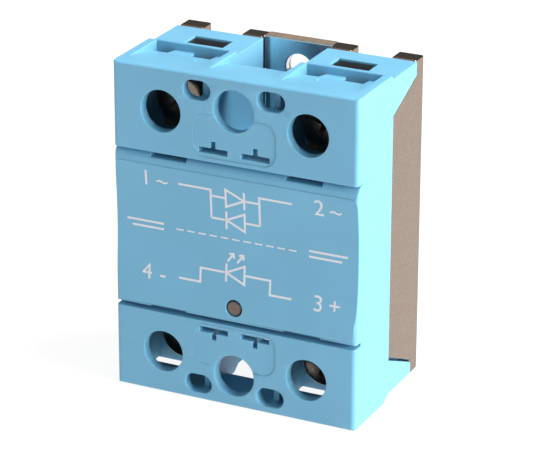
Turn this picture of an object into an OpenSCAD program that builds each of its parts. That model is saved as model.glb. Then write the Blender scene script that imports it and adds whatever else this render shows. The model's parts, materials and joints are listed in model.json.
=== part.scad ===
// Panel-mount solid state relay: a moulded housing on a metal base plate, four clamp screw
// terminals, and the power and control electronics inside.
// X is to the right, Z is up, and Y runs from the front face to the back. The origin is the
// middle of the mounting face at the back, so every other solid has a negative Y.

/* [Housing] */
// Width of the housing
body_w = 45; // [44:0.5:47]
// Height of the housing
body_h = 58.8; // [58.6:0.1:60]
// Depth from the front face to the mounting face
body_d = 27.2; // [27:0.1:29]
// Thickness of the front wall
front_wall = 2; // [1.6:0.1:2.2]
// Radius of the two upright front corners
corner_r = 0.8; // [0.4:0.1:1.2]
// Height of the step under the upper front section
upper_lip_z = 14.3; // [14:0.1:14.6]
// Height of the step under the middle front section
lower_lip_z = -13.7; // [-14:0.1:-13.4]
// Depth of the groove under each step
lip_recess = 2.1; // [1.6:0.1:2.4]
// Radius of the middle front section's hollow face
hollow_face_r = 85; // [70:5:200]
// Slot that guides a label or an accessory: length of its bar
key_slot_w = 5.3; // [4.8:0.1:5.6]
// Diameter of the status light window
window_dia = 3; // [2.6:0.1:3.4]

/* [Mounting] */
// Distance between the two mounting holes
mount_pitch = 47.6; // [47.4:0.1:47.8]
// Diameter of each mounting hole in the base plate
mount_hole_dia = 4.8; // [4.4:0.1:5.2]
// Diameter of the access holes in the front wall
access_dia = 7.4; // [7:0.1:7.6]
// Thickness of the base plate
base_web = 3.4; // [3:0.1:3.6]
// Depth of the base plate's side flanges, measured from the mounting face
flange_d = 12.9; // [12:0.1:13.4]

/* [Terminals] */
// Distance from the centre line to each terminal screw, sideways
screw_x = 13.5; // [13.4:0.1:13.6]
// Distance from the centre line to each terminal screw, up and down
screw_z = 21.8; // [21.7:0.1:21.9]
// Thread diameter of the two load screws
load_thread = 5; // [5:0.1:5.1]
// Thread diameter of the two control screws
control_thread = 4; // [3.9:0.1:4.2]

/* [Electronics] */
// Width of the control board
board_w = 35; // [32:0.5:36]
// Height of the control board
board_h = 24.4; // [23:0.2:24.6]
// Side of each square thyristor chip
chip_w = 7; // [5:0.5:7.5]

/* [Hidden] */
$fn = 48;

eps = 0.01;
joint_gap = 0.02;            // faces of separate pieces that meet
half_w = body_w / 2;
half_h = body_h / 2;
plate_half_w = half_w - 0.3;
plate_half_h = half_h - 0.6;

// Depths below are counted from the front face.
rear_d = body_d - base_web - 0.2;      // back of the housing
shelf_d = 12.35;                       // shelf that each terminal bar lies on
bar_t = 1.5;
bar_d = shelf_d - bar_t;               // front face of the terminal bars
clamp_t = 1.2;
clamp_d = bar_d - clamp_t - joint_gap; // front face of the clamps
wall_d = 12.85;                        // wall behind each wire entry
step_d = 13.9;                         // where the tower drops to the rear block
rim_drop = 0.7;                        // rear block below the rims, at the top
rim_drop_low = 1.1;                    // and at the bottom

// Terminal chambers
room_in = 7.15;
room_out = 20.95;
room_end = 15.4;
bar_w = 10;
bar_inner = 10.4;                      // where the terminal bars begin, inside the cavity
bar_end = 26.4;                        // how far they reach up and down
rim_in = 6;                            // half width of the mounting channel
roof_t = 1;
roof_start = 3;                        // where the upper roof starts to slope back
roof_d = 10.9;                         // rear edge of the upper roof
roof_drop = 1.3;
floor_d = 8.8;                         // rear edge of the lower roof
floor_t = 1;
channel_end = 14.2;                    // inner end of the mounting channels
thick_wall = 3.2;                      // front wall behind the hollows under the steps
cavity_h = 12.9;                       // half height of the electronics cavity
cavity_w = 18.9;                       // half width of the electronics cavity
flange_t = 1.7;
flange_front = body_d - flange_d;      // front edge of the flanges, from the front face
flange_low = 21.8;                     // half height of a flange's front edge
flange_high = 26;                      // half height of a flange where it meets the plate

window_z = lower_lip_z + 2.4;          // height of the status light window
ledge_z = lower_lip_z - 0.95;          // top of the lower front section
probe_x = 6.8;                         // places of the oval probe slots
probe_z = 26.5;
key_x = 3.87;                          // sideways place of each key slot
core_x = 12.5;                         // sideways place of the slots left by the mould's cores
notch_x = 14;                          // notches in the ends of the base plate
notch_w = 7.4;
notch_z = 24.6;
recess_w = 12.8;                       // sunk strip of the base plate under each channel
recess_t = 1.2;
tip_d = 20.6;                          // bottom of the hole for each screw's tip
screw_length = 10.6;                   // under the head
nut_d = [15.85, 19.55];                // depths of the front and back of each block nut
nut_w = 7;
nut_low = 3.9;                         // how far a nut reaches past its screw, inwards
nut_gap = 0.1;

// Electronics, as depths from the front face
board_d = 6.8;
board_t = 1.6;
board_back = board_d + board_t;
plate_d = body_d - base_web;           // front face of the base plate
ceramic_t = 0.63;
track_t = 0.3;
chip_t = 0.4;
ceramic_d = plate_d - joint_gap - ceramic_t;
track_d = ceramic_d - joint_gap - track_t;
chip_d = track_d - joint_gap - chip_t;
chip_x = 6.5;
chip_z = -1.5;
link_x = 14.6;                         // sideways place of the control links
gate_x = 2.2;                          // sideways place of the two gate pins

// ---- helpers ----

// Places children at a depth from the front face.
module at_depth(d) {
    translate([0, d - body_d, 0]) children();
}

// A box from its lower corner to its upper one; Y is the depth from the front face.
module block(low, high) {
    at_depth(0) translate(low) cube(high - low);
}

// A cylinder along Y from one depth to another.
module rod(x, z, d0, d1, r, sides = 48) {
    at_depth(d0) translate([x, 0, z]) rotate([-90, 0, 0]) cylinder(h = d1 - d0, r = r, $fn = sides);
}

// An outline drawn in X and Z, as seen from the front, extruded from one depth to another.
module plate_xz(d0, d1) {
    at_depth(d1) rotate([90, 0, 0]) linear_extrude(d1 - d0) children();
}

// An outline drawn in depth and height, extruded across from one X to another.
module profile_yz(x0, x1) {
    at_depth(0) translate([x0, 0, 0]) rotate([90, 0, 90]) linear_extrude(x1 - x0) children();
}

// A cylinder across the whole body, along X.
module cross_rod(d, z, r) {
    at_depth(d) translate([-half_w - 2, 0, z]) rotate([0, 90, 0])
        cylinder(h = body_w + 4, r = r, $fn = 96);
}

// A rectangle centred on the origin with true round corners.
module round_rect(w, h, r) {
    square([w - 2 * r, h], center = true);
    square([w, h - 2 * r], center = true);
    for (x = [-1, 1], z = [-1, 1])
        translate([x * (w / 2 - r), z * (h / 2 - r)]) circle(r = r);
}

// Children at each of the four terminals, given as side and end signs.
module each_terminal() {
    for (side = [-1, 1], end = [-1, 1]) {
        $side = side;
        $end = end;
        children();
    }
}

// ---- housing ----

// Side view of the towers: rims at full height, then the lower rear block.
module tower_outline() {
    polygon([
        [0, half_h - 0.3], [0.3, half_h], [wall_d + 0.2, half_h],
        [step_d, half_h - rim_drop], [rear_d, half_h - rim_drop],
        [rear_d, -half_h + rim_drop_low], [step_d, -half_h + rim_drop_low],
        [wall_d - 0.5, -half_h], [0.3, -half_h], [0, -half_h + 0.3]
    ]);
}

// Plan view of the body, with round upright front corners.
module plan_outline() {
    translate([-half_w, corner_r]) square([body_w, rear_d - corner_r]);
    translate([-half_w + corner_r, 0]) square([body_w - 2 * corner_r, corner_r + eps]);
    for (side = [-1, 1])
        translate([side * (half_w - corner_r), corner_r]) circle(r = corner_r);
}

module housing_body() {
    intersection() {
        profile_yz(-half_w, half_w) tower_outline();
        at_depth(0) translate([0, 0, -half_h]) linear_extrude(body_h) plan_outline();
    }
}

// Groove under the upper step: flat above, with the middle section's edge rolled over below.
module upper_groove() {
    edge_r = lip_recess + 0.15;
    back = lip_recess + 0.3;
    difference() {
        block([-half_w - 1, -1, upper_lip_z - edge_r], [half_w + 1, back, upper_lip_z]);
        cross_rod(back, upper_lip_z - edge_r, edge_r);
    }
}

// Groove under the middle section: a rolled edge above it, and a narrow ledge below it.
module lower_groove() {
    edge_r = 0.5;
    top = lower_lip_z - 0.2;
    difference() {
        block([-half_w - 1, -1, ledge_z], [half_w + 1, lip_recess, lower_lip_z + 0.3]);
        block([-half_w - 2, edge_r, top], [half_w + 2, lip_recess + 1, half_h]);
        cross_rod(edge_r, top + edge_r, edge_r);
    }
}

// Shallow hollow across the whole middle section of the front face.
module hollow_face() {
    sagitta = 0.85;
    deepest_z = (upper_lip_z + lower_lip_z) / 2 + 0.5;
    intersection() {
        cross_rod(sagitta - hollow_face_r, deepest_z, hollow_face_r);
        block([-half_w - 1, -1, lower_lip_z], [half_w + 1, sagitta + 1, upper_lip_z]);
    }
}

// Slanted cut that slopes the upper roof down towards the back, between the rims.
module roof_slope(x0, x1) {
    profile_yz(x0, x1) polygon([
        [roof_start, half_h], [roof_d, half_h - roof_drop],
        [wall_d, half_h - roof_drop], [wall_d, half_h + 1], [roof_start, half_h + 1]
    ]);
}

// Outline in X and depth of the two wire entries in one upper tower, from its left wall.
module wire_entries() {
    room_w = room_out - room_in;
    polygon([
        [0, roof_d], [3, roof_d + 0.15], [3.6, wall_d], [0, wall_d]
    ]);
    polygon([
        [7.2, wall_d], [7.5, roof_d + 0.1], [room_w - 2.7, roof_d + 0.1], [room_w - 2.4, wall_d]
    ]);
}

// The room behind one pair of access holes, for the clamp and the screw.
module terminal_room(side, end) {
    x0 = side > 0 ? room_in : -room_out;
    x1 = side > 0 ? room_out : -room_in;
    roof_z = half_h - roof_t;
    if (end > 0) {
        profile_yz(x0, x1) polygon([
            [thick_wall, room_end], [shelf_d, room_end],
            [shelf_d, bar_end + 0.2], [wall_d, bar_end + 0.2],
            [wall_d, roof_z - roof_drop], [roof_d, roof_z - roof_drop],
            [roof_start, roof_z], [front_wall, roof_z], [front_wall, room_end + 1]
        ]);
        at_depth(0) translate([x0, 0, half_h - 4]) linear_extrude(5) wire_entries();
    } else {
        floor_z = -half_h + floor_t;
        profile_yz(x0, x1) polygon([
            [thick_wall, -room_end], [shelf_d, -room_end], [shelf_d, -half_h - 1],
            [floor_d, -half_h - 1], [floor_d, floor_z], [front_wall, floor_z],
            [front_wall, -room_end - 1]
        ]);
    }
}

// Slot in the end of a tower that the block nut slides into, and the hole for the screw.
module nut_seat(side, end) {
    x = side * screw_x;
    rod(x, end * screw_z, shelf_d - eps, tip_d, load_thread / 2 + 0.4);
    nut_block(x, end, nut_gap, half_h + 1);
}

// The open channel between two towers, for a mounting screw and its washer. The front wall
// is thicker next to the step, and thin where the key slots go through it.
module mounting_channel(end) {
    roof_z = half_h - roof_t;
    wall_front = [
        [front_wall, end * (channel_end + 2.2)], [front_wall + 0.2, end * (channel_end + 1.5)],
        [thick_wall, end * (channel_end + 1)], [thick_wall, end * channel_end],
        [rear_d + 1, end * channel_end], [rear_d + 1, end * (half_h + 1)]
    ];
    mouth = end > 0
        ? [[roof_d, half_h + 1], [roof_d, roof_z - roof_drop], [roof_start, roof_z],
           [front_wall, roof_z]]
        : [[floor_d + 0.9, -half_h - 1], [floor_d + 0.9, -half_h + floor_t],
           [front_wall, -half_h + floor_t]];
    profile_yz(-rim_in, rim_in) polygon(concat(wall_front, mouth));
}

// T-shaped slot through the front wall, with its stub pointing to the end of the body.
module key_slot(x, end) {
    stub_w = 0.9;
    bar_low = 15.75;
    bar_high = 16.7;
    stub_high = 17.9;
    plate_xz(-1, thick_wall + 0.2) {
        translate([x - key_slot_w / 2, end > 0 ? bar_low : -bar_high])
            square([key_slot_w, bar_high - bar_low]);
        translate([x - stub_w / 2, end > 0 ? bar_low : -stub_high])
            square([stub_w, stub_high - bar_low]);
    }
}

// Oval slot through the front wall for a test probe.
module probe_slot(x, z) {
    slot_w = 5.05;
    slot_h = 3.4;
    plate_xz(-1, front_wall + 1)
        translate([x, z]) {
            square([slot_w - slot_h, slot_h], center = true);
            for (side = [-1, 1])
                translate([side * (slot_w - slot_h) / 2, 0]) circle(d = slot_h);
        }
}

// Shallow sunk panel around the key slots of one end.
module sunk_panel(end) {
    low = 15.05;
    high = 22.6;
    sunk_w = 15.4;
    sunk_t = 0.12;
    plate_xz(-1, sunk_t)
        translate([0, end * (low + high) / 2]) round_rect(sunk_w, high - low, 2.4);
}

// Room at each side for the base plate's flange, plus the slot where it enters.
module flange_room(side) {
    gap = 0.3;
    inner = plate_half_w - flange_t - gap;
    low = flange_low + gap;
    high = flange_high + gap;
    profile_yz(side > 0 ? inner : -half_w - 1, side > 0 ? half_w + 1 : -inner) polygon([
        [flange_front - gap, -low], [flange_front - gap, low],
        [rear_d, high], [rear_d + 1, high], [rear_d + 1, -high], [rear_d, -high]
    ]);
}

module electronics_cavity() {
    block([-cavity_w, thick_wall, -cavity_h], [cavity_w, rear_d + 1, cavity_h]);
}

// Slots that let the terminal bars pass from the cavity into the towers.
module bar_passages() {
    passage_w = bar_w + 0.3;
    each_terminal()
        block(
            [$side * screw_x - passage_w / 2, bar_d - 0.1, $end > 0 ? cavity_h - 1 : -room_end - 1],
            [$side * screw_x + passage_w / 2, shelf_d, $end > 0 ? room_end + 1 : -cavity_h + 1]
        );
}

// Short marks left by the cores of the mould: deep slots under the upper step, and notches
// in the lower edge of the middle section.
module core_slots() {
    slot_h = 1.1;
    slot_w = 6.7;
    notch_h = 0.35;
    for (side = [-1, 1]) {
        translate([side * core_x, 0, upper_lip_z - slot_h])
            block([-slot_w / 2, -1, 0], [slot_w / 2, 4.4, slot_h]);
        translate([side * core_x, 0, lower_lip_z - 0.2])
            block([-slot_w / 2, -1, 0], [slot_w / 2, lip_recess, notch_h]);
    }
}

module housing() {
    color("skyblue")
    difference() {
        housing_body();
        hollow_face();
        upper_groove();
        lower_groove();
        core_slots();
        electronics_cavity();
        bar_passages();
        roof_slope(-room_out, -room_in);
        roof_slope(-rim_in, rim_in);
        roof_slope(room_in, room_out);
        for (end = [-1, 1]) {
            mounting_channel(end);
            sunk_panel(end);
            rod(0, end * mount_pitch / 2, -1, front_wall + 1, access_dia / 2);
        }
        each_terminal() {
            terminal_room($side, $end);
            nut_seat($side, $end);
            rod($side * screw_x, $end * screw_z, -1, front_wall + 1, access_dia / 2);
            key_slot($side * key_x, $end);
            probe_slot($side * probe_x, $end * probe_z);
        }
        for (side = [-1, 1]) flange_room(side);
        rod(0, window_z, -1, thick_wall + 1, window_dia / 2);
    }
}

// ---- base plate ----

// Notch in the end of the plate, open behind a tower.
module plate_notch(side, end) {
    block(
        [side * notch_x - notch_w / 2, plate_d - 1, end > 0 ? notch_z : -half_h],
        [side * notch_x + notch_w / 2, body_d + 1, end > 0 ? half_h : -notch_z]
    );
}

module base_plate() {
    color("rosybrown")
    difference() {
        union() {
            block([-plate_half_w, plate_d, -plate_half_h], [plate_half_w, body_d, plate_half_h]);
            for (side = [-1, 1])
                profile_yz(side > 0 ? plate_half_w - flange_t : -plate_half_w,
                           side > 0 ? plate_half_w : -plate_half_w + flange_t)
                    polygon([
                        [flange_front, -flange_low], [flange_front, flange_low],
                        [rear_d, flange_high], [plate_d + 1, flange_high],
                        [plate_d + 1, -flange_high], [rear_d, -flange_high]
                    ]);
        }
        each_terminal() plate_notch($side, $end);
        for (end = [-1, 1]) {
            block([-recess_w / 2, plate_d - 1, end > 0 ? channel_end : -half_h],
                  [recess_w / 2, plate_d + recess_t, end > 0 ? half_h : -channel_end]);
            rod(0, end * mount_pitch / 2, plate_d - 1, body_d + 1, mount_hole_dia / 2);
        }
    }
}

module base_seal() {
    color("dimgray")
    difference() {
        plate_xz(rear_d + joint_gap, plate_d - joint_gap) round_rect(39.6, 28, 0.8);
        block([-cavity_w, rear_d - 1, -cavity_h], [cavity_w, plate_d + 1, cavity_h]);
    }
}

// ---- status light ----

// Light pipe, a little thinner where it shows in the front face.
module window() {
    face_d = 0.12;
    step = 0.5;
    color("gray") {
        rod(0, window_z, face_d, step + eps, window_dia / 2 - 0.2);
        rod(0, window_z, step, thick_wall + 0.9, window_dia / 2 - joint_gap);
    }
}

module status_led() {
    color("yellow")
        block([-0.8, board_d - joint_gap - 0.9, window_z - 0.8],
              [0.8, board_d - joint_gap, window_z + 1.4]);
}

// ---- control electronics ----

module control_board() {
    color("green")
    difference() {
        block([-board_w / 2, board_d, -board_h / 2], [board_w / 2, board_back, board_h / 2]);
        for (side = [-1, 1]) {
            rod(side * gate_x, chip_z, board_d - 1, board_back + 1, 0.5);
            rod(side * link_x, -board_h / 2 + 2.2, board_d - 1, board_back + 1, 0.75);
            rod(side * link_x, board_h / 2 - 2.2, board_d - 1, board_back + 1, 1);
        }
    }
}

// Body of a dual in-line package with its two rows of leads, on the front of the board.
module in_line_package(x, z, w, h, t, leads) {
    lead_w = 0.5;
    stand = 0.4;
    block([x - w / 2, board_d - stand - t, z - h / 2], [x + w / 2, board_d - stand, z + h / 2]);
    for (side = [-1, 1], i = [0:leads - 1]) {
        lead_z = z + (i - (leads - 1) / 2) * 2.54;
        block(
            [x + side * (w / 2 + 0.4) - 0.4, board_d - joint_gap - 0.3, lead_z - lead_w / 2],
            [x + side * (w / 2 + 0.4) + 0.4, board_d - joint_gap, lead_z + lead_w / 2]
        );
        block(
            [x + side * (w / 2) - 0.15, board_d - stand - t / 2, lead_z - lead_w / 2],
            [x + side * (w / 2) + 0.15, board_d - joint_gap, lead_z + lead_w / 2]
        );
    }
}

module optocoupler() {
    color("white") in_line_package(0, 3.6, 6.4, 8.6, 2.6, 3);
}

module input_regulator() {
    color("black") in_line_package(-10.5, -6.5, 4.4, 5, 1.6, 2);
}

module reverse_diode() {
    color("black") in_line_package(10.5, -6.5, 2.6, 4.2, 1.8, 1);
}

// Chip resistors in a row on the front of the board.
module board_resistors() {
    color("black")
        for (i = [0:3])
            block([6.2 + i * 3.1, board_d - joint_gap - 0.6, 1.6],
                  [7.8 + i * 3.1, board_d - joint_gap, 4.8]);
}

module board_capacitor() {
    color("tan")
        block([-13.5, board_d - joint_gap - 2.4, 1], [-8.5, board_d - joint_gap, 4.4]);
}

// Disc varistor across the load terminals, behind the board.
module varistor() {
    disc_r = 4.2;
    disc_t = 3.2;
    color("orange") {
        at_depth(15.2) translate([-disc_t / 2, 0, 5.6]) rotate([0, 90, 0])
            cylinder(h = disc_t, r = disc_r);
        for (side = [-1, 1])
            rod(side * (disc_t / 2 - 0.5), 5.6, board_back + joint_gap, 15.2 - disc_r + 0.5, 0.3, 16);
    }
}

// Two pins that carry the gate signals from the board to the thyristors.
module gate_pins() {
    color("gold")
        for (side = [-1, 1]) {
            rod(side * gate_x, chip_z, board_d - 0.6, track_d - joint_gap, 0.4);
            block([side * gate_x - 0.9, board_back + joint_gap, chip_z - 0.9],
                  [side * gate_x + 0.9, board_back + 0.6, chip_z + 0.9]);
        }
}

// Posts that join the control terminal bars to the board.
module control_links() {
    link_z = -board_h / 2 + 2.2;
    color("gold")
        for (side = [-1, 1]) {
            rod(side * link_x, link_z, board_d - 0.6, bar_d - joint_gap, 0.65);
            rod(side * link_x, link_z, bar_d - 1.2, bar_d - joint_gap, 1.3);
        }
}

// ---- power electronics ----

module ceramic_substrate() {
    color("ivory") plate_xz(ceramic_d, ceramic_d + ceramic_t) round_rect(34, 24.6, 0.6);
}

module copper_tracks() {
    color("peru")
        for (side = [-1, 1]) {
            plate_xz(track_d, track_d + track_t)
                translate([side * 9, 0]) round_rect(12.6, 22.6, 0.6);
            plate_xz(track_d, track_d + track_t)
                translate([side * gate_x / 1.4, chip_z]) round_rect(2.2, 6, 0.4);
        }
}

module thyristor(side) {
    color("slategray")
        plate_xz(chip_d, chip_d + chip_t)
            translate([side * chip_x + side * 1, chip_z]) round_rect(chip_w, chip_w, 0.3);
}

module thyristor_a() {
    thyristor(-1);
}

module thyristor_b() {
    thyristor(1);
}

// Bridges from the face of each chip across to the other copper track.
module cathode_clips() {
    clip_h = 2.6;
    color("peru")
        for (side = [-1, 1]) {
            clip_z = chip_z + side * 2;
            arch_d = chip_d - 1.6;
            x_in = side * (chip_x + 1);
            x_out = -side * 4.2;
            block([min(x_in, x_out) - 1, arch_d, clip_z - clip_h / 2 + 0.3 * side],
                  [max(x_in, x_out) + 1, arch_d + 0.5, clip_z + clip_h / 2 - 0.3]);
            block([x_in - 1, arch_d, clip_z - 1], [x_in + 1, chip_d - joint_gap, clip_z + 1]);
        }
}

// Resin that seals the cavity between the board and the power stage.
module potting_resin() {
    resin_front = 16.5;
    resin_back = 20.4;
    color("darkslategray")
    difference() {
        block([-cavity_w + joint_gap, resin_front, -cavity_h + joint_gap],
              [cavity_w - joint_gap, resin_back, cavity_h - joint_gap]);
        block([-2.2, resin_front - 1, 0.8], [2.2, resin_back + 1, 10.4]);
        for (side = [-1, 1]) {
            rod(side * gate_x, chip_z, resin_front - 1, resin_back + 1, 0.5);
            block([side * screw_x - 4.2, resin_front - 1, 10.2],
                  [side * screw_x + 4.2, resin_back + 1, 12.2]);
        }
    }
}

// ---- terminals ----

// Flat bar under a clamp, reaching into the cavity.
module bar_arm(side, end) {
    x = side * screw_x;
    difference() {
        block([x - bar_w / 2, bar_d, end > 0 ? bar_inner : -bar_end],
              [x + bar_w / 2, shelf_d - joint_gap, end > 0 ? bar_end : -bar_inner]);
        rod(x, end * screw_z, bar_d - 1, shelf_d + 1, load_thread / 2 + 0.3);
    }
}

// Load bar: its leg runs back to a foot on the copper track.
module power_bar(side) {
    x = side * screw_x;
    foot_x = side * (screw_x - 1.5);
    foot_back = track_d - joint_gap;
    leg_high = bar_inner + 1.5;
    color("goldenrod") {
        bar_arm(side, 1);
        block([x - 4, bar_d, bar_inner], [x + 4, foot_back, leg_high]);
        block([foot_x - 2.5, foot_back - 1, 6.5], [foot_x + 2.5, foot_back, leg_high]);
    }
}

module control_bar(side) {
    color("gold") bar_arm(side, -1);
}

module line_bar() {
    power_bar(-1);
}

module load_bar() {
    power_bar(1);
}

module minus_bar() {
    control_bar(-1);
}

module plus_bar() {
    control_bar(1);
}

// Square clamp with cut corners, under a load screw.
module power_clamp(side) {
    clamp_w = 9.8;
    color("silver")
    difference() {
        plate_xz(clamp_d, clamp_d + clamp_t)
            translate([side * screw_x, screw_z]) round_rect(clamp_w, clamp_w, 1.2);
        rod(side * screw_x, screw_z, clamp_d - 1, clamp_d + clamp_t + 1, load_thread / 2 + 0.15);
    }
}

// Round clamp under a control screw.
module control_clamp(side) {
    color("silver")
    difference() {
        rod(side * screw_x, -screw_z, clamp_d, clamp_d + clamp_t, 5);
        rod(side * screw_x, -screw_z, clamp_d - 1, clamp_d + clamp_t + 1, control_thread / 2 + 0.15);
    }
}

module line_clamp() {
    power_clamp(-1);
}

module load_clamp() {
    power_clamp(1);
}

module minus_clamp() {
    control_clamp(-1);
}

module plus_clamp() {
    control_clamp(1);
}

// Pan-head screw with a cross recess and a slot.
module terminal_screw(side, end, thread, head_dia, head_t) {
    x = side * screw_x;
    z = end * screw_z;
    seat_d = clamp_d - joint_gap;
    dome = 0.7;
    recess = head_t * 0.6;
    color("silver")
    difference() {
        union() {
            rod(x, z, seat_d - head_t + dome, seat_d, head_dia / 2);
            at_depth(seat_d - head_t + dome) translate([x, 0, z]) rotate([90, 0, 0])
                cylinder(h = dome, r1 = head_dia / 2, r2 = head_dia / 2 - dome);
            rod(x, z, seat_d - eps, seat_d + screw_length, thread / 2 - 0.05);
        }
        for (turn = [0, 90])
            at_depth(seat_d - head_t - eps) translate([x, 0, z]) rotate([0, turn, 0])
                translate([-head_dia * 0.28, 0, -0.5]) cube([head_dia * 0.56, recess, 1]);
        at_depth(seat_d - head_t - eps) translate([x, 0, z])
            translate([-head_dia, 0, -0.5]) cube([2 * head_dia, recess * 0.5, 1]);
    }
}

module power_screw(side) {
    terminal_screw(side, 1, load_thread, 9.2, 3);
}

module control_screw(side) {
    terminal_screw(side, -1, control_thread, 8.2, 2.6);
}

module line_screw() {
    power_screw(-1);
}

module load_screw() {
    power_screw(1);
}

module minus_screw() {
    control_screw(-1);
}

module plus_screw() {
    control_screw(1);
}

// The block that a nut fills, grown by a gap, up or down to a given height.
module nut_block(x, end, gap, high) {
    inner = screw_z - nut_low - gap;
    block([x - nut_w / 2 - gap, nut_d[0] - gap, end > 0 ? inner : -high],
          [x + nut_w / 2 + gap, nut_d[1] + gap, end > 0 ? high : -inner]);
}

// Block nut, slid into its slot from the end of the tower.
module terminal_nut(side, end, thread) {
    below_roof = 0.35;
    end_high = half_h - (end > 0 ? rim_drop : rim_drop_low) - below_roof;
    color("dimgray")
    difference() {
        nut_block(side * screw_x, end, 0, end_high);
        rod(side * screw_x, end * screw_z, nut_d[0] - 1, nut_d[1] + 1, thread / 2);
    }
}

module line_nut() {
    terminal_nut(-1, 1, load_thread);
}

module load_nut() {
    terminal_nut(1, 1, load_thread);
}

module minus_nut() {
    terminal_nut(-1, -1, control_thread);
}

module plus_nut() {
    terminal_nut(1, -1, control_thread);
}

housing();
base_plate();
base_seal();
window();
status_led();
control_board();
optocoupler();
input_regulator();
reverse_diode();
board_resistors();
board_capacitor();
varistor();
gate_pins();
control_links();
ceramic_substrate();
copper_tracks();
thyristor_a();
thyristor_b();
cathode_clips();
potting_resin();
line_bar();
load_bar();
plus_bar();
minus_bar();
line_clamp();
load_clamp();
plus_clamp();
minus_clamp();
line_screw();
load_screw();
plus_screw();
minus_screw();
line_nut();
load_nut();
plus_nut();
minus_nut();
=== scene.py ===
"""Looks of a panel-mount solid state relay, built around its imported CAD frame."""

import json
import math

import bmesh
import bpy
from mathutils import Matrix, Vector
from mathutils.bvhtree import BVHTree


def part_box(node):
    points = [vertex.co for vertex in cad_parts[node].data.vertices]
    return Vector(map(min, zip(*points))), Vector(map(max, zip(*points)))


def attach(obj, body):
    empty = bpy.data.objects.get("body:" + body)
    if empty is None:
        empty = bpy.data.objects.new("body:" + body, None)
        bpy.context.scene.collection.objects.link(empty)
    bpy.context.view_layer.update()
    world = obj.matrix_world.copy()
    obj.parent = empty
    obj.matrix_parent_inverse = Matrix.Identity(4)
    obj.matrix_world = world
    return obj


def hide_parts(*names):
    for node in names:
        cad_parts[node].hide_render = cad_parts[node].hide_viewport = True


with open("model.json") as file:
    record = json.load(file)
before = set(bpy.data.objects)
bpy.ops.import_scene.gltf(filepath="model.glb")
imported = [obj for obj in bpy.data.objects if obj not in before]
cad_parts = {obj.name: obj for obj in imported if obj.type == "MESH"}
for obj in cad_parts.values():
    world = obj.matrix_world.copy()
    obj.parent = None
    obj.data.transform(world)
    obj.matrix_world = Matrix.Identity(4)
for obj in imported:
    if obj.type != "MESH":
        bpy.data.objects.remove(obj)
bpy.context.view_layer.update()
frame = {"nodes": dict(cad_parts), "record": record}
nodes = frame["nodes"]

MM = 0.001
FRONT_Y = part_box("housing")[0].y
TOP_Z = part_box("housing")[1].z
BOTTOM_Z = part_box("housing")[0].z


# ---- camera, floor and light ----

def add_camera():
    """A long lens, from the right and a little above."""
    azimuth, elevation = math.radians(25.74), math.radians(21.92)
    roll = math.radians(0.18)
    target = Vector((1.45, -16.26, 0.21)) * MM
    distance = 484.9 * MM
    back = Vector((
        math.sin(azimuth) * math.cos(elevation),
        -math.cos(azimuth) * math.cos(elevation),
        math.sin(elevation),
    ))
    data = bpy.data.cameras.new("camera")
    data.sensor_width = 36
    data.lens = 190.7
    data.clip_start = 0.01
    data.clip_end = 20
    camera = bpy.data.objects.new("camera", data)
    bpy.context.scene.collection.objects.link(camera)
    camera.location = target + back * distance
    turn = (-back).to_track_quat("-Z", "Y").to_matrix().to_4x4()
    camera.rotation_euler = (turn @ Matrix.Rotation(roll, 4, "Z")).to_euler()
    bpy.context.scene.camera = camera


def softbox(name, place, side, power):
    """A square soft light of this side at place, in metres, that points at the part."""
    aim = Vector((0, -0.01, 0))
    data = bpy.data.lights.new(name, "AREA")
    data.shape = "SQUARE"
    data.size = side
    data.energy = power
    light = bpy.data.objects.new(name, data)
    bpy.context.scene.collection.objects.link(light)
    light.location = place
    light.rotation_euler = (aim - light.location).to_track_quat("-Z", "Y").to_euler()


def add_studio():
    """A light tent, white in front and dim behind, and two softboxes on the right."""
    world = bpy.data.worlds.new("studio")
    bpy.context.scene.world = world
    world.use_nodes = True
    tree = world.node_tree
    background = tree.nodes["Background"]
    background.inputs["Strength"].default_value = 0.44
    # A direction's Y is 1 straight behind the part: white up to 0.35, then a fade to grey.
    place = tree.nodes.new("ShaderNodeTexCoord")
    split = tree.nodes.new("ShaderNodeSeparateXYZ")
    fade = tree.nodes.new("ShaderNodeMapRange")
    fade.inputs["From Min"].default_value = 0.35
    fade.inputs["From Max"].default_value = 0.8
    fade.inputs["To Min"].default_value = 1.34
    fade.inputs["To Max"].default_value = 0.3
    tree.links.new(place.outputs["Generated"], split.inputs["Vector"])
    tree.links.new(split.outputs["Y"], fade.inputs["Value"])
    tree.links.new(fade.outputs["Result"], background.inputs["Color"])
    bpy.context.scene.view_settings.view_transform = "Standard"
    softbox("side_box", (0.85, -0.12, 0.22), 0.45, 12.0)
    softbox("top_box", (0.4, 0.14, 0.76), 0.4, 10.5)


def add_floor():
    """A back-lit white sheet just under the part, bright enough to hide its shadow."""
    mesh = bpy.data.meshes.new("floor")
    half = 3.0
    gap = 0.1 * MM
    z = BOTTOM_Z - gap
    mesh.from_pydata(
        [(-half, -half, z), (half, -half, z), (half, half, z), (-half, half, z)],
        [], [(0, 1, 2, 3)],
    )
    floor = bpy.data.objects.new("floor", mesh)
    bpy.context.scene.collection.objects.link(floor)
    material = bpy.data.materials.new("floor_sheet")
    material.use_nodes = True
    shader = material.node_tree.nodes["Principled BSDF"]
    shader.inputs["Base Color"].default_value = (0.12, 0.12, 0.12, 1)
    shader.inputs["Roughness"].default_value = 0.95
    shader.inputs["Emission Color"].default_value = (1, 1, 1, 1)
    shader.inputs["Emission Strength"].default_value = 0.9
    mesh.materials.append(material)


add_camera()
add_studio()
add_floor()


# ---- materials ----

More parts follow.
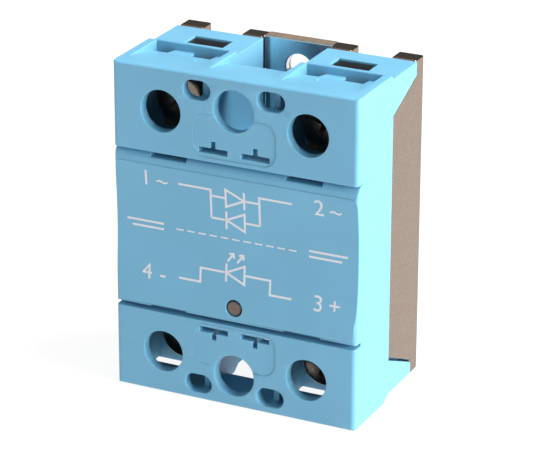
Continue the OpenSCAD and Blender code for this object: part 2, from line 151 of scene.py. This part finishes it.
class Look:
    """A node material with the few helpers that every finish here uses."""

    def __init__(self, name, color, roughness, metallic=0.0):
        self.material = bpy.data.materials.new(name)
        self.material.use_nodes = True
        self.tree = self.material.node_tree
        self.shader = self.tree.nodes["Principled BSDF"]
        self.set("Base Color", (*color, 1))
        self.set("Roughness", roughness)
        self.set("Metallic", metallic)
        self.color = color
        self.place = self.tree.nodes.new("ShaderNodeTexCoord")

    def set(self, socket, value):
        """A value that is the same all over, on the shader's own socket."""
        self.shader.inputs[socket].default_value = value

    def link(self, a, b):
        self.tree.links.new(a, b)

    def noise(self, scale, detail=3.0, stretch=(1, 1, 1)):
        """Noise with this many features a metre, in the part's own frame."""
        mapping = self.tree.nodes.new("ShaderNodeMapping")
        mapping.inputs["Scale"].default_value = stretch
        self.link(self.place.outputs["Object"], mapping.inputs["Vector"])
        node = self.tree.nodes.new("ShaderNodeTexNoise")
        node.inputs["Scale"].default_value = scale
        node.inputs["Detail"].default_value = detail
        self.link(mapping.outputs["Vector"], node.inputs["Vector"])
        return node.outputs["Fac"]

    def stops(self, source, colors):
        """Colour that passes through these (place, colour) pairs as source goes from 0 to 1."""
        node = self.tree.nodes.new("ShaderNodeValToRGB")
        elements = node.color_ramp.elements
        elements.remove(elements[1])
        for i, (place, color) in enumerate(colors):
            element = elements[0] if i == 0 else elements.new(place)
            element.position = place
            element.color = (*color, 1)
        self.link(source, node.inputs["Fac"])
        return node.outputs["Color"]

    def inward(self, center, radius):
        """0 at this distance from a centre in X and Z, rising to 1 at the centre."""
        mapping = self.tree.nodes.new("ShaderNodeMapping")
        mapping.inputs["Scale"].default_value = (1 / radius, 0, 1 / radius)
        mapping.inputs["Location"].default_value = (-center.x / radius, 0, -center.z / radius)
        self.link(self.place.outputs["Object"], mapping.inputs["Vector"])
        node = self.tree.nodes.new("ShaderNodeTexGradient")
        node.gradient_type = "SPHERICAL"
        self.link(mapping.outputs["Vector"], node.inputs["Vector"])
        return node.outputs["Fac"]

    def span(self, source, low, high):
        """The source stretched from 0 and 1 to two other values."""
        node = self.tree.nodes.new("ShaderNodeMapRange")
        node.inputs["To Min"].default_value = low
        node.inputs["To Max"].default_value = high
        self.link(source, node.inputs["Value"])
        return node.outputs["Result"]

    def between(self, axis, low, high):
        """1 where this coordinate, in metres, lies between two values, and 0 elsewhere."""
        split = self.tree.nodes.new("ShaderNodeSeparateXYZ")
        self.link(self.place.outputs["Object"], split.inputs["Vector"])
        node = self.tree.nodes.new("ShaderNodeMath")
        node.operation = "COMPARE"
        node.inputs[1].default_value = (low + high) / 2
        node.inputs[2].default_value = (high - low) / 2
        self.link(split.outputs[axis], node.inputs[0])
        return node.outputs["Value"]

    def times(self, a, b):
        """The product of two values, or of two masks."""
        node = self.tree.nodes.new("ShaderNodeMath")
        node.operation = "MULTIPLY"
        self.link(a, node.inputs[0])
        self.link(b, node.inputs[1])
        return node.outputs["Value"]

    def mix(self, mask, outside, inside):
        """One colour where the mask is 0, and the other where it is 1."""
        node = self.tree.nodes.new("ShaderNodeMix")
        node.data_type = "RGBA"
        self.link(mask, node.inputs[0])
        self.link(outside, node.inputs[6])
        self.link(inside, node.inputs[7])
        return node.outputs[2]

    def bump(self, source, depth, strength):
        """Fine relief this many metres deep."""
        node = self.tree.nodes.new("ShaderNodeBump")
        node.inputs["Strength"].default_value = strength
        node.inputs["Distance"].default_value = depth
        self.link(source, node.inputs["Height"])
        self.link(node.outputs["Normal"], self.shader.inputs["Normal"])

    def shades(self, source, color, amount):
        """This colour, darker and lighter by this share, following noise over its usual range."""
        low = tuple(c * (1 - amount) for c in color)
        high = tuple(min(1, c * (1 + amount)) for c in color)
        return self.stops(source, [(0.35, low), (0.65, high)])

    def vary(self, source, amount):
        """The material's own colour in such shades."""
        self.link(self.shades(source, self.color, amount), self.shader.inputs["Base Color"])


# Depth of a moulded or blasted grain, in metres.
FINE = 0.01 * MM


def blue_plastic():
    """Light blue moulding: satin, finely grained, and a little translucent at its edges."""
    look = Look("housing_plastic", (0.136, 0.365, 0.53), 0.40)
    look.vary(look.noise(70), 0.03)
    grain = look.noise(6500, 2)
    look.link(look.span(grain, 0.36, 0.48), look.shader.inputs["Roughness"])
    look.bump(grain, FINE, 0.3)
    look.set("Subsurface Weight", 0.15)
    look.set("Subsurface Radius", (0.5, 1.1, 1.5))
    look.set("Subsurface Scale", 0.0007)
    return look.material


def plate_metal():
    """Blasted brownish plate with a fine sparkle; in the sunk strips a brighter, bluish colour is
    a painted reflection of the blue moulding.
    """
    look = Look("base_metal", (0.293, 0.215, 0.163), 0.2, 1.0)
    grain = look.noise(5200, 2)
    plate_shades = look.shades(grain, look.color, 0.16)
    # Painted reflection: in the sunk strips the colour is lighter and bluish, standing in for the
    # blue moulding mirrored in the metal.
    painted_blue_reflection = look.shades(grain, (0.615, 0.725, 0.775), 0.07)
    in_strip = look.times(look.between("X", -6.3 * MM, 6.3 * MM),
                          look.between("Y", -3.0 * MM, -1.0 * MM))
    look.link(look.mix(in_strip, plate_shades, painted_blue_reflection), look.shader.inputs["Base Color"])
    look.link(look.span(look.noise(3800, 2), 0.15, 0.27), look.shader.inputs["Roughness"])
    look.bump(grain, 0.6 * FINE, 0.4)
    return look.material


def plated(name, color, roughness):
    """Plated steel with short streaks along the depth of the part: painted sheen in the colour,
    and fine relief in the bump.
    """
    look = Look(name, color, roughness, 1.0)
    sheen_streaks = look.noise(2400, 3, (1, 0.12, 1))
    # Painted sheen: light and dark streaks in the colour stand in for glints along the plating.
    look.vary(sheen_streaks, 0.25)
    look.bump(sheen_streaks, 2 * FINE, 0.4)
    return look.material


def plain(name, color, roughness, metallic=0.0):
    """A small inner piece: one colour, broken up by a fine grain."""
    grain = 3000
    look = Look(name, color, roughness, metallic)
    look.vary(look.noise(grain), 0.08)
    look.bump(look.noise(grain * 2), FINE, 0.3)
    return look.material


def window_lens():
    """Smoked lens, dark at its rim with painted shadow of the gap round it, and with a painted
    trace of the red light behind its middle.
    """
    look = Look("window_lens", (0.10, 0.075, 0.065), 0.25)
    low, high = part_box("window")
    inward = look.inward((low + high) / 2, (high.x - low.x) / 2)
    # Painted shade: the dark outer stops are the shadow of the gap round the lens. Painted light:
    # the red stop is a trace of the light behind the middle.
    look.link(look.stops(inward, [
        (0.0, (0.015, 0.014, 0.013)), (0.16, (0.025, 0.022, 0.02)), (0.3, (0.085, 0.066, 0.06)),
        (0.5, (0.105, 0.075, 0.062)), (0.66, (0.16, 0.058, 0.034)), (0.9, (0.09, 0.062, 0.048)),
    ]), look.shader.inputs["Base Color"])
    look.bump(look.noise(900, 2), 3 * FINE, 0.4)
    look.set("Coat Weight", 0.3)
    return look.material


def print_ink():
    """Screen print, a little uneven where it meets the grain of the moulding."""
    look = Look("print_ink", (0.60, 0.61, 0.66), 0.55)
    look.vary(look.noise(7000, 2), 0.08)
    look.bump(look.noise(9000, 2), 0.5 * FINE, 0.3)
    return look.material


def painted_edge_highlight():
    """Painted highlight for the plate's edges: cream and brighter than the plating, with fine
    lines.
    """
    look = Look("painted_edge_highlight", (0.80, 0.62, 0.46), 0.42, 1.0)
    lines = look.noise(2500, 2, (1, 0.05, 1))
    look.vary(lines, 0.14)
    look.bump(lines, FINE, 0.5)
    return look.material


# The finish of each material slot in the record.
FINISH = {
    "housing": blue_plastic(),
    "nickel_plate": plate_metal(),
    "seal": plain("seal_adhesive", (0.12, 0.12, 0.12), 0.6),
    "window_lens": window_lens(),
    "led_body": plain("led_body", (0.7, 0.66, 0.4), 0.3),
    "laminate": plain("laminate", (0.05, 0.25, 0.12), 0.35),
    "white_package": plain("white_package", (0.8, 0.8, 0.77), 0.5),
    "black_package": plain("black_package", (0.03, 0.03, 0.03), 0.5),
    "capacitor_body": plain("capacitor_body", (0.45, 0.32, 0.18), 0.5),
    "varistor_coat": plain("varistor_coat", (0.7, 0.25, 0.04), 0.35),
    "alumina": plain("alumina", (0.85, 0.84, 0.8), 0.5),
    "copper": plain("copper", (0.72, 0.38, 0.22), 0.35, 1.0),
    "silicon": plain("silicon", (0.12, 0.13, 0.15), 0.2),
    "resin": plain("resin", (0.06, 0.08, 0.09), 0.25),
    "plated_brass": plain("plated_brass", (0.66, 0.6, 0.47), 0.35, 1.0),
    # Painted shade: the screws and clamps are coloured darker than their plating, since they sit
    # deep in the housing, in shade.
    "plated_steel": plated("screw_steel_painted_shade", (0.21, 0.175, 0.145), 0.28),
    "zinc_steel": plated("clamp_steel_painted_shade", (0.15, 0.12, 0.10), 0.3),
}
INK = print_ink()
# Cream metal whose brightness is a painted highlight on the plate's edges.
EDGE_HIGHLIGHT = painted_edge_highlight()
# Painted shade: the nuts are coloured near black, darker than their plating, for the shade of
# their recesses.
SHADED_NUT_STEEL = plated("nut_steel_painted_shade", (0.07, 0.055, 0.045), 0.3)
TERMINALS = ("line", "load", "minus", "plus")

for part in frame["record"]["subparts"]:
    piece = nodes[part["node"]]
    piece.data.materials.clear()
    piece.data.materials.append(FINISH[part["material_slot"]])

# Each nut gets the near-black steel of painted shade.
for terminal in TERMINALS:
    nodes[terminal + "_nut"].data.materials[0] = SHADED_NUT_STEEL


# ---- softened edges ----

# Edge radius of each node in millimetres; the moulding's edges are crisp, the metal is broken.
EDGE = {"housing": 0.12, "base_plate": 0.3, "window": 0.12}
DEFAULT_EDGE = 0.08


def soften(piece, radius):
    """Round the sharp edges of a CAD node with modifiers, its own mesh left as it is."""
    weld = piece.modifiers.new("weld", "WELD")
    weld.merge_threshold = 0.002 * MM
    flat = piece.modifiers.new("flat", "DECIMATE")
    flat.decimate_type = "DISSOLVE"
    flat.angle_limit = math.radians(1)
    cut = piece.modifiers.new("cut", "TRIANGULATE")
    cut.ngon_method = "BEAUTY"
    edge = piece.modifiers.new("edge", "BEVEL")
    edge.width = radius * MM
    edge.segments = 2
    edge.limit_method = "ANGLE"
    edge.angle_limit = math.radians(35)
    edge.use_clamp_overlap = False
    edge.loop_slide = False
    edge.face_strength_mode = "FSTR_ALL"
    shade = piece.modifiers.new("shade", "WEIGHTED_NORMAL")
    shade.use_face_influence = True


for name, piece in nodes.items():
    soften(piece, EDGE.get(name, DEFAULT_EDGE))


# ---- pieces ----

def finished_mesh(bm, name):
    """The mesh of a closed bmesh, with its faces turned outwards."""
    bmesh.ops.recalc_face_normals(bm, faces=bm.faces)
    mesh = bpy.data.meshes.new(name)
    bm.to_mesh(mesh)
    bm.free()
    return mesh


def add_piece(name, mesh, material, body):
    """A new piece of the part, with one material, that rides on a body."""
    piece = bpy.data.objects.new(name, mesh)
    bpy.context.scene.collection.objects.link(piece)
    mesh.materials.append(material)
    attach(piece, body)


# ---- print on the middle section ----

housing_tree = BVHTree.FromObject(nodes["housing"], bpy.context.evaluated_depsgraph_get())
OUTSIDE = 10 * MM  # how far outside the part a line that looks for its surface starts
INK_HALF = 0.012 * MM  # half the thickness of the ink, in metres
LINE = 0.38  # width of a printed line, in millimetres
STEP = 0.8  # longest straight piece of print, so that it follows the hollow face
FIGURE = 4.0  # size of the figures and signs
LOAD_ROW = 9.3  # height of the print beside the load terminals
CONTROL_ROW = -7.7  # height of the print beside the control terminals
LEAD_X = 10.5  # how far the symbols' leads reach sideways


def face_y(x, z):
    """Where a line from the front first meets the moulding, in metres."""
    hit = housing_tree.ray_cast(Vector((x, FRONT_Y - OUTSIDE, z)), Vector((0, 1, 0)))[0]
    return hit.y


def lay_on_face(bm):
    """Lay a flat drawing, in X and Z with its thickness in Y, on the moulding's front."""
    for vert in bm.verts:
        vert.co.y += face_y(vert.co.x, vert.co.z)


def split_long(bm, longest):
    """Cut every edge that is longer than this, in metres."""
    for _ in range(6):
        edges = [edge for edge in bm.edges if edge.calc_length() > longest]
        if not edges:
            return
        bmesh.ops.subdivide_edges(bm, edges=edges, cuts=1)


def stroke_corners(points, width, closed):
    """Left and right sides of a line of this width through the points, with mitred corners."""
    count = len(points)
    sides = []
    for i, here in enumerate(points):
        before = points[i - 1] if closed or i > 0 else None
        after = points[(i + 1) % count] if closed or i < count - 1 else None
        ways = []
        if before is not None:
            ways.append((here - before).normalized())
        if after is not None:
            ways.append((after - here).normalized())
        way = sum(ways, Vector((0, 0))).normalized()
        normal = Vector((-way.y, way.x))
        reach = width / 2 / max(0.4, way.dot(ways[0]))
        sides.append((here + normal * reach, here - normal * reach))
    return sides


def add_stroke(bm, points, width=LINE, closed=False):
    """A printed line through points given in millimetres across and up the face."""
    dense = []
    spans = list(zip(points, points[1:] + points[:1]))
    for start, end in spans if closed else spans[:-1]:
        start, end = Vector(start), Vector(end)
        pieces = max(1, math.ceil((end - start).length / STEP))
        dense += [start.lerp(end, i / pieces) for i in range(pieces)]
    if not closed:
        dense.append(Vector(points[-1]))
    rows = []
    for pair in stroke_corners(dense, width, closed):
        rows.append([
            bm.verts.new((at.x * MM, y, at.y * MM)) for at in pair for y in (-INK_HALF, INK_HALF)
        ])
    order = (0, 1, 3, 2)
    count = len(rows)
    for i in range(count if closed else count - 1):
        here, there = rows[i], rows[(i + 1) % count]
        for a, b in zip(order, order[1:] + order[:1]):
            bm.faces.new((here[a], here[b], there[b], there[a]))
    if not closed:
        bm.faces.new([rows[0][i] for i in order])
        bm.faces.new([rows[-1][i] for i in reversed(order)])


def add_glyphs(bm, text, place, size):
    """Figures or signs from Blender's own font, centred on place, in millimetres."""
    curve = bpy.data.curves.new("glyphs", "FONT")
    curve.body = text
    curve.size = size
    curve.extrude = INK_HALF / MM
    curve.align_x = "CENTER"
    curve.align_y = "CENTER"
    shape = bpy.data.objects.new("glyphs", curve)
    mesh = bpy.data.meshes.new_from_object(shape)
    flat = bmesh.new()
    flat.from_mesh(mesh)
    bmesh.ops.remove_doubles(flat, verts=flat.verts, dist=0.0001)
    for vert in flat.verts:
        x, up, out = vert.co
        vert.co = Vector((place[0] + x, -out, place[1] + up)) * MM
    flat.to_mesh(mesh)
    flat.free()
    bm.from_mesh(mesh)
    bpy.data.objects.remove(shape)
    bpy.data.curves.remove(curve)
    bpy.data.meshes.remove(mesh)


def printed(name, draw):
    """A piece of print that draw() adds to a bmesh, laid on the face."""
    bm = bmesh.new()
    draw(bm)
    split_long(bm, STEP * MM)
    lay_on_face(bm)
    add_piece(name, finished_mesh(bm, name), INK, "relay")


def terminal_marks(bm):
    """Terminal numbers, and the kind of supply at each."""
    left, right, sign_shift = -16.6, 15.4, 3.0
    load_sign_z = LOAD_ROW - 0.1
    for figure, sign, x, z, sign_z in (
        ("1", "~", left, LOAD_ROW, load_sign_z), ("2", "~", right, LOAD_ROW, load_sign_z),
        ("4", "-", left, CONTROL_ROW, CONTROL_ROW), ("3", "+", right, CONTROL_ROW, CONTROL_ROW),
    ):
        add_glyphs(bm, figure, (x, z), FIGURE)
        add_glyphs(bm, sign, (x + sign_shift, sign_z), FIGURE)


def switch_symbol(bm):
    """Two thyristors back to back, between the two load terminals."""
    z, half, reach = 6.2, 1.575, 1.7
    node_x, apart = 4.5, 2.0
    for side in (-1, 1):
        add_stroke(bm, [(side * LEAD_X, LOAD_ROW), (side * node_x, LOAD_ROW),
                        (side * node_x, z + apart)])
        level = z + side * apart
        add_stroke(bm, [(-node_x, level), (-reach, level)])
        add_stroke(bm, [(reach, level), (node_x, level)])
        tip, base = side * reach, -side * reach
        add_stroke(bm, [(base, level + half), (base, level - half), (tip, level)], closed=True)
        add_stroke(bm, [(tip, level + half), (tip, level - half)])
    for side in (-1, 1):
        add_stroke(bm, [(side * node_x, z + apart), (side * node_x, z - apart)])


def input_symbol(bm):
    """A light-emitting diode between the two control terminals."""
    z, half, reach = -5.2, 1.6, 1.7
    bend_x = 6.5
    for side in (-1, 1):
        add_stroke(bm, [(side * LEAD_X, CONTROL_ROW), (side * bend_x, CONTROL_ROW),
                        (side * bend_x, z), (side * reach, z)])
    add_stroke(bm, [(reach, z + half), (reach, z - half), (-reach, z)], closed=True)
    add_stroke(bm, [(-reach, z + half), (-reach, z - half)])
    for shift in (-0.9, 0.9):
        add_stroke(bm, [(shift - 0.6, z + 2.0), (shift + 0.5, z + 3.5)])
        add_stroke(bm, [(shift - 0.3, z + 3.4), (shift + 0.5, z + 3.5), (shift + 0.6, z + 2.7)])


def rule_lines(bm):
    """Pairs of rules at both sides, beside a dashed line between output and input."""
    inner, outer, pitch, half_dash = 13.5, 20.5, 2.1, 0.7
    for side in (-1, 1):
        add_stroke(bm, [(side * outer, 1.4), (side * inner, 1.4)])
        add_stroke(bm, [(side * (outer - 1), 0.4), (side * inner, 0.4)])
    for i in range(-5, 6):
        add_stroke(bm, [(i * pitch - half_dash, 0.9), (i * pitch + half_dash, 0.9)], 0.25)


printed("print_terminal_marks", terminal_marks)
printed("print_switch_symbol", switch_symbol)
printed("print_input_symbol", input_symbol)
printed("print_rule_lines", rule_lines)


# ---- terminal screws ----

# Sizes here are in millimetres, and a screw's axis is Y, with its tip at the high end.

def thread_depth(turn, pitch):
    """How far the surface lies under the crest, at this part of a turn along the thread."""
    deepest, flank, crest = 0.54 * pitch, 1.25, 0.12
    from_crest = abs((turn % 1) * 2 - 1)
    return deepest * min(1, max(0, from_crest * flank - crest))


def skin(bm, rings):
    """Close a row of rings of vertices, all of one count, into a solid."""
    count = len(rings[0])
    for low, high in zip(rings, rings[1:]):
        for i in range(count):
            j = (i + 1) % count
            bm.faces.new((low[i], low[j], high[j], high[i]))
    bm.faces.new(list(reversed(rings[0])))
    bm.faces.new(rings[-1])


def head_rows(head_r, head_t):
    """Places and radii along a pan head with a low crown and a rounded rim."""
    rim, crown, corner, steps = 0.75, 0.12, 0.15, 6
    rows = [(0, head_r - rim - 1.6), (crown / 2, head_r - rim - 0.6)]
    for i in range(steps + 1):
        turn = math.radians(90 * i / steps)
        rows.append((crown + rim * (1 - math.cos(turn)), head_r - rim + rim * math.sin(turn)))
    return rows + [(head_t - corner, head_r), (head_t, head_r - corner)]


def screw_body(head_r, head_t, thread_r, pitch, length):
    """Pan head, short neck with a fillet, rolled thread and a chamfered tip."""
    sides, steps = 40, 8
    fillet, thread_start, full_thread, chamfer = 0.25, 0.8, 1.4, 0.9
    neck_r = thread_r - 0.3 * pitch
    rows = head_rows(head_r, head_t)
    rows += [(head_t, neck_r + fillet), (head_t + fillet, neck_r), (head_t + 0.6, neck_r)]
    rows = [(y, [radius] * sides) for y, radius in rows]
    for k in range(int((length - thread_start) / pitch * steps) + 1):
        along = thread_start + k * pitch / steps
        to_tip = length - along
        limit = thread_r - max(0, chamfer - to_tip) if along > full_thread else neck_r + 0.1
        rows.append((head_t + along, [
            min(limit, thread_r - thread_depth(along / pitch - i / sides, pitch))
            for i in range(sides)
        ]))
    rows.append((head_t + length, [thread_r - chamfer - 0.1] * sides))
    bm = bmesh.new()
    skin(bm, [[
        bm.verts.new(Vector((radius * math.cos(math.tau * i / sides), y,
                             radius * math.sin(math.tau * i / sides))) * MM)
        for i, radius in enumerate(radii)
    ] for y, radii in rows])
    return finished_mesh(bm, "screw_body")


def recess_cutter(head_r, head_t):
    """A tapered cross, deeper in the middle, and a slot right across."""
    bm = bmesh.new()
    arm, half, above = head_r * 0.56, 0.5, 0.5
    cross_deep, slot_deep = head_t * 0.6, head_t * 0.3
    outline = [(-arm, -half), (arm, -half), (arm, half), (-arm, half)]
    for turn in (0, 90):
        spin = Matrix.Rotation(math.radians(turn), 3, "Y")
        skin(bm, [
            [bm.verts.new(spin @ Vector((x * share, y, z * width)) * MM) for x, z in outline]
            for y, share, width in ((-above, 1.06, 1.04), (cross_deep, 0.55, 0.75))
        ])
    for vert in bmesh.ops.create_cube(bm, size=1)["verts"]:
        x, y, z = vert.co
        vert.co = Vector((x * 3 * head_r, (y + 0.5) * (slot_deep + above) - above,
                          z * 2 * half)) * MM
    return finished_mesh(bm, "recess_cutter")


def add_screw(terminal, thread_dia, pitch, head_t, spin):
    """A detailed screw in the place of the CAD one, riding its body."""
    node = terminal + "_screw"
    low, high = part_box(node)
    head_r = (high.x - low.x) / 2 / MM
    clearance = 0.05
    length = (high.y - low.y) / MM - head_t
    mesh = screw_body(head_r, head_t, thread_dia / 2 - clearance, pitch, length)
    piece = bpy.data.objects.new(terminal + "_terminal_screw", mesh)
    cutter = bpy.data.objects.new("cutter", recess_cutter(head_r, head_t))
    for thing in (piece, cutter):
        bpy.context.scene.collection.objects.link(thing)
    cut = piece.modifiers.new("recess", "BOOLEAN")
    cut.operation = "DIFFERENCE"
    cut.solver = "EXACT"
    cut.use_self = True
    cut.object = cutter
    done = bpy.data.meshes.new_from_object(
        piece.evaluated_get(bpy.context.evaluated_depsgraph_get()))
    piece.modifiers.clear()
    bpy.data.objects.remove(cutter)
    place = Matrix.Translation(Vector(((low.x + high.x) / 2, low.y, (low.z + high.z) / 2)))
    done.transform(place @ Matrix.Rotation(math.radians(spin), 4, "Y"))
    done.name = piece.name
    done.shade_smooth()
    done.set_sharp_from_angle(angle=math.radians(35))
    piece.data = done
    done.materials.clear()
    done.materials.append(FINISH["plated_steel"])
    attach(piece, terminal + "_screw_assembly")
    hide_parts(node)


# Thread diameter, pitch, head thickness, and how far each screw happens to be turned.
add_screw("line", 5, 0.8, 3, 35)
add_screw("load", 5, 0.8, 3, 20)
add_screw("minus", 4, 0.7, 2.6, 50)
add_screw("plus", 4, 0.7, 2.6, 10)


# ---- small marks ----

def add_block(name, low, high, edge, material):
    """A block with rounded edges between two corners in metres, on the relay."""
    bm = bmesh.new()
    for vert in bmesh.ops.create_cube(bm, size=1)["verts"]:
        vert.co = Vector(low[i] + (vert.co[i] + 0.5) * (high[i] - low[i]) for i in range(3))
    bmesh.ops.bevel(bm, geom=bm.edges[:], offset=edge, segments=3, profile=0.5, affect="EDGES")
    add_piece(name, finished_mesh(bm, name), material, "relay")


def add_gate_mark(name, x):
    """The small domed scar where the moulding was filled, on the roof of an upper tower."""
    depth, radius, height = 8.0, 0.4, 0.18
    origin = Vector((x * MM, FRONT_Y + depth * MM, TOP_Z + OUTSIDE))
    hit = housing_tree.ray_cast(origin, Vector((0, 0, -1)))[0]
    bm = bmesh.new()
    bmesh.ops.create_uvsphere(bm, u_segments=24, v_segments=12, radius=radius * MM)
    for vert in bm.verts:
        vert.co.z *= height / radius
        vert.co += hit
    mesh = finished_mesh(bm, name)
    mesh.shade_smooth()
    add_piece(name, mesh, FINISH["housing"], "relay")


def add_painted_edge_highlights():
    """Painted highlights along the edges of the plate's thin strips, between the plated thick
    parts: thin cream sheets on their ends.
    """
    low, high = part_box("base_plate")
    strip_w, strip_t, proud, inset = 12.6 * MM, 2.15 * MM, 0.03 * MM, 0.02 * MM
    edge = 0.6 * proud
    # Each sheet is a painted highlight laid on the end of a strip.
    for name, z in (("upper", high.z), ("lower", low.z)):
        add_block("plate_" + name + "_painted_highlight", (-strip_w / 2, high.y - strip_t, z - proud),
                  (strip_w / 2, high.y - inset, z + proud), edge, EDGE_HIGHLIGHT)


add_gate_mark("load_gate_mark", 11.2)
add_gate_mark("line_gate_mark", -11.2)
add_painted_edge_highlights()
